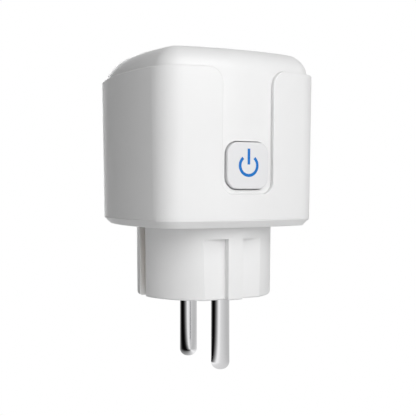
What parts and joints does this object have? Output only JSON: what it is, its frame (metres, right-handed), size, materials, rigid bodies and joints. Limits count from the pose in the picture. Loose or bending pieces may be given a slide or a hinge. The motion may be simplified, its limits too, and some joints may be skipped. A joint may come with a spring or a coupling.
{
  "type": "smart plug",
  "caption": "Rounded-square smart plug with a recessed earthed socket on top, a push button in a front channel, and a round two-pin earthed plug neck below.",
  "frame": {"origin": "centre of the plug's engagement face, where the pins leave the neck", "axes": "+Z from the pins towards the socket, pins in a row along Y, button face towards -Y, earth clips on X"},
  "size_m": [0.05, 0.0495, 0.0821],
  "materials": {
    "sleeve_plastic": "satin white",
    "housing_plastic": "satin white",
    "base_plastic": "satin white",
    "cup_plastic": "satin white",
    "button_plastic": "satin light grey",
    "icon_blue": "blue light guide",
    "pin_metal": "nickel-plated brass",
    "copper": "copper sheet",
    "earth_brass": "spring brass",
    "contact_bronze": "phosphor bronze",
    "carrier_plastic": "dark nylon",
    "shutter_plastic": "acetal",
    "spring_steel": "spring wire",
    "screw_steel": "zinc-plated",
    "board_green": "solder mask",
    "board_blue": "solder mask",
    "relay_plastic": "relay case",
    "capacitor_can": "sleeved can",
    "ferrite": "ferrite",
    "winding_tape": "yellow tape",
    "varistor_blue": "dipped epoxy",
    "resistor_body": "lacquer",
    "chip_black": "moulded epoxy",
    "switch_plastic": "switch base",
    "plunger_plastic": "switch plunger",
    "led_lens": "clear resin",
    "tin_shield": "tin plate"
  },
  "bodies": {
    "body": {"outer_sleeve": "sleeve_plastic", "inner_housing": "housing_plastic", "base_cover": "base_plastic", "socket_cup": "cup_plastic", "line_pin": "pin_metal", "neutral_pin": "pin_metal", "line_busbar": "copper", "neutral_busbar": "copper", "relay_bar": "copper", "plug_earth_strap": "earth_brass", "socket_earth_bracket": "earth_brass", "earth_rivet": "earth_brass", "line_contact": "contact_bronze", "neutral_contact": "contact_bronze", "contact_carrier": "carrier_plastic", "shutter_spring": "spring_steel", "carrier_screws": "screw_steel", "housing_screws": "screw_steel", "main_pcb": "board_green", "button_board": "board_green", "wifi_board": "board_blue", "relay": "relay_plastic", "bulk_capacitors": "capacitor_can", "output_capacitor": "capacitor_can", "transformer_core": "ferrite", "transformer_winding": "winding_tape", "varistor": "varistor_blue", "choke": "ferrite", "fuse_resistor": "resistor_body", "bridge_rectifier": "chip_black", "power_chip": "chip_black", "metering_chip": "chip_black", "shunt_resistor": "copper", "board_header": "chip_black", "wifi_header": "chip_black", "switch_body": "switch_plastic", "status_led": "led_lens", "wifi_shield": "tin_shield"},
    "button": {"button_cap": "button_plastic", "button_icon": "icon_blue"},
    "plunger": {"switch_plunger": "plunger_plastic"},
    "shutter": {"safety_shutter": "shutter_plastic"}
  },
  "joints": [
    {"name": "button_press", "type": "slide", "parent": "body", "child": "button", "axis": [0, 1, 0], "range_m": [0, 0.0005], "stiffness_N_per_m": 4000, "springref_m": -0.0002},
    {"name": "switch_travel", "type": "slide", "parent": "body", "child": "plunger", "axis": [0, 1, 0], "range_m": [0, 0.0005]},
    {"name": "shutter_slide", "type": "slide", "parent": "body", "child": "shutter", "axis": [1, 0, 0], "range_m": [0, 0.0059], "stiffness_N_per_m": 60, "springref_m": -0.002, "deforming": ["shutter_spring"]}
  ],
  "couplings": [
    {"joint": "switch_travel", "follows": "button_press", "ratio": 1}
  ]
}
